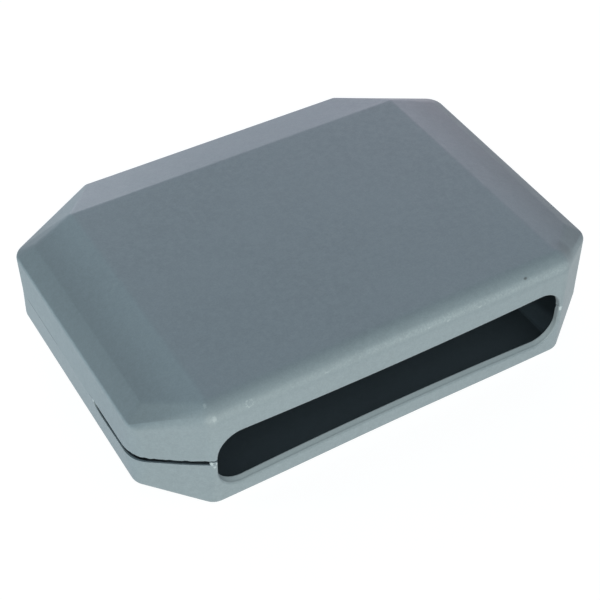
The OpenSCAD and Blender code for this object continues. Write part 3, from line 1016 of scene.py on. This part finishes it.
# Painted shade and a dark spot: strength and limits of the spot at the pit, and of the shade at
# the corner, in the lower shell's inside, on the end slopes, in the seam's hairline on the left end wall
# and on the open seam's rims
PAINTED_SHADE_AND_DARK_SPOT = (
    (1, (("from pit", 0.8, 0.2),)),
    # Painted shade at the front corner of the right end slope
    (0.35, (("from shaded corner", 7, 1),)),
    # Painted shade inside the lower shell, where little light reaches through the slot
    (0.6, (("y", -69.5, -69), ("y", 10, 0), ("over slope", 2.1, 2.3), ("over seam", 1, 0),
           ("side", 97.2, 97), ("chamfer", 101.5, 101.1))),
    # Painted shade on the upper end slopes, which take less light than the middle
    (0.3, (("side", 74, 94), ("side", 99.2, 98.4), ("z", 30, 32), ("chamfer", 101.5, 101.1))),
    # Painted shade in the hairline gap of the seam on the left end wall
    (0.75, (("off seam", 0.3, 0.1), ("x", -99, -99.3), ("y", 5, 14), ("y", 40, 38))),
    # Painted shade on the rims inside the open seam, under the upper shell's edge
    (0.8, (("off seam", 3.6, 3.4), ("side", 99.5, 99.3), ("y", -38, -34), ("y", -17, -18),
           ("x", 0, -1))))
# The way in which the front chamfers face, along X and against Y
CHAMFER_FACING = (0.602, 0.798)
LOWER_SLOPE_X = 75 * MM
LOWER_SLOPE = 0.29


def measures(own):
    """What the limits of the marks are measured by, as outputs of the plastic's nodes."""
    x, y, z = own.node("ShaderNodeSeparateXYZ", {0: own.place}).outputs
    side = own.math("ABSOLUTE", x)
    over_seam = own.math("SUBTRACT", z, SEAM_Z)
    chamfer = own.math("SUBTRACT", own.math("MULTIPLY", side, CHAMFER_FACING[0]),
                       own.math("MULTIPLY", y, CHAMFER_FACING[1]))
    slope = own.times(own.math("MAXIMUM", own.math("SUBTRACT", side, LOWER_SLOPE_X), 0), LOWER_SLOPE)
    return {"x": x, "y": y, "z": z, "side": side, "chamfer": chamfer,
            "over slope": own.math("SUBTRACT", z, slope), "over seam": over_seam,
            "off seam": own.math("ABSOLUTE", over_seam),
            "off edge": own.math("ABSOLUTE", own.math("SUBTRACT", z, EDGE_WEAR_Z)),
            "from pit": own.away(PIT, (0.7, 1, 1)), "from shaded corner": own.away(SHADED_CORNER)}


def within(own, measured, limits):
    """From 1 where all limits are met to 0 where one of them isn't."""
    return own.times(*(own.ramp(measured[name], start * MM, full * MM)
                       for name, start, full in limits))


def worn_and_lit(own, measured):
    """How far the plastic is rubbed pale, or lightened by painted light on the slot's lips, from 0 to 1.
    """
    ragged = own.math("MULTIPLY", own.math("SUBTRACT", own.grain(1300, 3, 0.7), 0.5), RAGGEDNESS)
    rubbed = 0.0
    for place, reach, stretch, strength in RUBBED:
        away = own.math("ADD", own.away(place, stretch), ragged)
        spot = own.ramp(away, reach * MM, 0.3 * reach * MM, 0, strength)
        rubbed = own.math("MAXIMUM", spot, rubbed)
    ring = own.math("SUBTRACT", own.away(RING_SCUFF, (0.9, 1, 1)), RING_R)
    ring = own.math("ADD", own.math("ABSOLUTE", ring), ragged)
    rubbed = own.math("MAXIMUM", rubbed, own.ramp(ring, RING_WIDTH, 0, 0, RING_STRENGTH))
    speckled = own.ramp(own.grain(1100, 3, 0.7), 0.4, 0.68, 0.13, 0.3)
    along = own.ramp(measured["x"], -60 * MM, 20 * MM, EDGE_WEAR_LEFT, 1)
    edge = own.times(speckled, along, within(own, measured, EDGE_WEAR))
    # Painted light on the cut faces of the slot's lips
    lip = own.times(LIP_LIGHT_STRENGTH, within(own, measured, LIP_PAINTED_LIGHT))
    return own.math("MAXIMUM", own.math("MAXIMUM", rubbed, edge), lip)


def painted_shade_and_dark_spot(own, measured):
    """How much shade is painted on the plastic, with a dark spot at a pit, from 0 to 1."""
    most = 0.0
    for strength, limits in PAINTED_SHADE_AND_DARK_SPOT:
        most = own.math("MAXIMUM", most, own.times(strength, within(own, measured, limits)))
    return most


def moulded_plastic():
    """Matte grey plastic with a fine moulded grain, rubbed pale in spots, with painted light on the slot's
    lips and painted shade in its hollows, on its end slopes and at a corner
    """
    if "moulded_plastic" in bpy.data.materials:
        return bpy.data.materials["moulded_plastic"]
    own = Finish("moulded_plastic")
    base = finishes().plastic
    clouds = own.ramp(own.grain(22, 2), 0.35, 0.65)
    colour = own.blend(clouds, tinted(base, 0.965), tinted(base, 1.015))
    mottle = own.ramp(own.grain(420, 3, 0.6), 0.3, 0.7)
    colour = own.blend(mottle, colour, tinted(base, 1.06))
    fine = own.grain(1500, 2, 0.6)
    speckle = own.ramp(fine, 0.3, 0.7, 0.955, 1.045)
    colour = own.node("ShaderNodeVectorMath", {0: colour, 3: speckle}, operation="SCALE").outputs[0]
    measured = measures(own)
    # Painted shade in the hollows, on the end slopes and at a corner, and a dark spot at a pit
    colour = own.blend(painted_shade_and_dark_spot(own, measured), colour, tinted(base, 0.3))
    # Rubbed pale spots, and painted light on the slot's lips
    colour = own.blend(worn_and_lit(own, measured), colour, PALE_WEAR_AND_LIGHT_COLOUR)
    rough = own.ramp(own.grain(160, 3), 0.3, 0.7, 0.535, 0.565)
    normal = own.bump(fine, 0.03 * MM, 0.8)
    return own.shade({"Base Color": colour, "Roughness": rough, "Normal": normal})


def powder_coat():
    """Black powder coat with a fine orange peel"""
    own = Finish("powder_coat")
    base = finishes().coating
    colour = own.blend(own.ramp(own.grain(300, 3), 0.4, 0.7), base, tinted(base, 1.8))
    rough = own.ramp(own.grain(90, 3), 0.3, 0.7, 0.42, 0.55)
    normal = own.bump(own.grain(2600, 2), 0.04 * MM, 0.6)
    return own.shade({"Base Color": colour, "Roughness": rough, "Normal": normal})


def black_rubber():
    """Matte black rubber sheet"""
    own = Finish("black_rubber")
    base = finishes().rubber
    colour = own.blend(own.ramp(own.grain(500, 3), 0.4, 0.7), base, tinted(base, 2.2))
    normal = own.bump(own.grain(3000, 2), 0.04 * MM, 0.7)
    return own.shade({"Base Color": colour, "Roughness": 0.8, "Normal": normal})


def plated(name, base, dull, grain_height):
    """Plated metal with a little staining and fine scratches"""
    own = Finish(name)
    stain = own.ramp(own.grain(260, 4), 0.45, 0.75)
    colour = own.blend(stain, base, tinted(base, 0.82))
    scratch = own.grain(900, 3, 0.6, stretch=(0.25, 1, 1))
    rough = own.ramp(own.grain(350, 3), 0.3, 0.7, dull - 0.06, dull + 0.08)
    normal = own.bump(scratch, grain_height, 0.4)
    return own.shade({"Base Color": colour, "Metallic": 1.0, "Roughness": rough,
                      "Normal": normal})


def zinc_plate():
    return plated("zinc_plate", finishes().zinc, 0.38, 0.03 * MM)


def satin_chrome():
    return plated("satin_chrome", finishes().chrome, 0.24, 0.015 * MM)


# The stage

FLOOR_SIZE = 6.0
# The world's light on the block, and what is seen of it past the floor
WORLD_COLOUR = (0.35, 0.423, 0.459, 1)
WORLD_SEEN = (0.8, 0.8, 0.8, 1)
# The floor's glow where the camera, a gloss or a clear part sees it, and for all other light
FLOOR_SEEN = 0.91
FLOOR_BOUNCE = 0.7
# Name, azimuth and elevation in degrees, distance and size in metres, watts and colour
LAMPS = (("front_light", -14.7, 7.5, 0.99, 0.24, 5.4, (0.98, 1, 0.89)),
         ("left_light", -114, 7.5, 0.99, 0.24, 3.05, (0.76, 0.96, 1)),
         ("back_light", 174, 14, 1.04, 0.24, 1.9, (0.92, 0.9, 1)),
         ("back_right_light", 140, 14, 1.6, 0.7, 4.5, (1, 0.79, 0.98)))


def direction_of(azimuth, elevation):
    """Unit vector from the block towards an azimuth and elevation in radians."""
    level = cos(elevation)
    return Vector((sin(azimuth) * level, -cos(azimuth) * level, sin(elevation)))


def point_at(obj, target):
    direction = Vector(target) - obj.location
    obj.rotation_mode = "QUATERNION"
    obj.rotation_quaternion = direction.to_track_quat("-Z", "Y")


def lamp(name, azimuth, elevation, distance, size, watts, colour):
    """Square soft light that points at the block from an angle."""
    data = bpy.data.lights.new(name, "AREA")
    data.size = size
    data.energy = watts
    data.color = colour
    made = bpy.data.objects.new(name, data)
    bpy.context.scene.collection.objects.link(made)
    made.location = direction_of(radians(azimuth), radians(elevation)) * distance
    point_at(made, (0, 0, SEAM_Z))


def pale_floor():
    """Pale floor that shows white but keeps a soft shadow"""
    own = Finish("pale_floor")
    shadowed = own.node("ShaderNodeBsdfDiffuse", {"Color": (0.2, 0.2, 0.2, 1)})
    glow = own.node("ShaderNodeEmission", {
        "Color": (1, 1, 1, 1),
        "Strength": own.ramp(own.seen_ray(), 0, 1, FLOOR_BOUNCE, FLOOR_SEEN)})
    surface = own.node("ShaderNodeAddShader", {0: shadowed.outputs[0], 1: glow.outputs[0]})
    own.node("ShaderNodeOutputMaterial", {"Surface": surface.outputs[0]})
    return own.material


class SCENE_OT_woodblock_stage(bpy.types.Operator):
    """Set up the floor, the light and the camera"""

    bl_idname = "scene.woodblock_stage"
    bl_label = "Stage"

    def execute(self, context):
        scene = context.scene
        own = scene.woodblock_stage
        bpy.ops.object.select_all(action="DESELECT")
        bpy.ops.mesh.primitive_plane_add(size=FLOOR_SIZE, location=(0, 0, CAD_BOUNDS[0].z))
        floor = settled("floor")
        floor.data.materials.append(pale_floor())

        camera = bpy.data.objects.new("camera", bpy.data.cameras.new("camera"))
        scene.collection.objects.link(camera)
        camera.data.lens = own.lens
        camera.data.sensor_width = 36
        back = direction_of(own.azimuth, own.elevation)
        camera.location = Vector(own.aim) + back * own.distance
        point_at(camera, own.aim)
        camera.data.clip_start = 0.01
        camera.data.clip_end = 50
        scene.camera = camera

        self.light_world(scene)
        for values in LAMPS:
            lamp(*values)
        scene.view_settings.view_transform = "Standard"
        return {"FINISHED"}

    def light_world(self, scene):
        """Soft world light on the block, with a pale background behind it."""
        scene.world = bpy.data.worlds.new("studio")
        own = Nodes(scene.world)
        soft = own.node("ShaderNodeBackground", {"Color": WORLD_COLOUR}).outputs[0]
        seen = own.node("ShaderNodeBackground", {"Color": WORLD_SEEN}).outputs[0]
        mixed = own.node("ShaderNodeMixShader", {0: own.seen_ray(), 1: soft, 2: seen})
        own.node("ShaderNodeOutputWorld", {"Surface": mixed.outputs[0]})


class VIEW3D_PT_woodblock(bpy.types.Panel):
    """Lists the steps that build the block, with their sizes and colours"""

    bl_label = "Percussion block"
    bl_idname = "VIEW3D_PT_woodblock"
    bl_space_type = "VIEW_3D"
    bl_region_type = "UI"
    bl_category = "Percussion block"

    def draw(self, context):
        layout = self.layout
        for step in STEPS:
            layout.operator(step)
        for group in (sizes(), finishes(), context.scene.woodblock_stage):
            box = layout.box()
            for name in group.bl_rna.properties.keys():
                if name not in ("rna_type", "name"):
                    box.prop(group, name)


STEPS = ("mesh.woodblock_upper_shell", "mesh.woodblock_lower_shell", "mesh.woodblock_bracket",
         "mesh.woodblock_screws", "mesh.woodblock_clamp", "scene.woodblock_stage")
CLASSES = (WoodblockShellSizes, WoodblockFinishes, WoodblockStage,
           MESH_OT_woodblock_upper_shell, MESH_OT_woodblock_lower_shell,
           MESH_OT_woodblock_bracket, MESH_OT_woodblock_screws, MESH_OT_woodblock_clamp,
           SCENE_OT_woodblock_stage, VIEW3D_PT_woodblock)


def register():
    for kind in CLASSES:
        bpy.utils.register_class(kind)
    bpy.types.Scene.woodblock_sizes = PointerProperty(type=WoodblockShellSizes)
    bpy.types.Scene.woodblock_finishes = PointerProperty(type=WoodblockFinishes)
    bpy.types.Scene.woodblock_stage = PointerProperty(type=WoodblockStage)


def unregister():
    del bpy.types.Scene.woodblock_stage
    del bpy.types.Scene.woodblock_finishes
    del bpy.types.Scene.woodblock_sizes
    for kind in reversed(CLASSES):
        bpy.utils.unregister_class(kind)


def main():
    register()
    for step in STEPS:
        area, name = step.split(".")
        getattr(getattr(bpy.ops, area), name)()


if __name__ == "__main__":
    main()
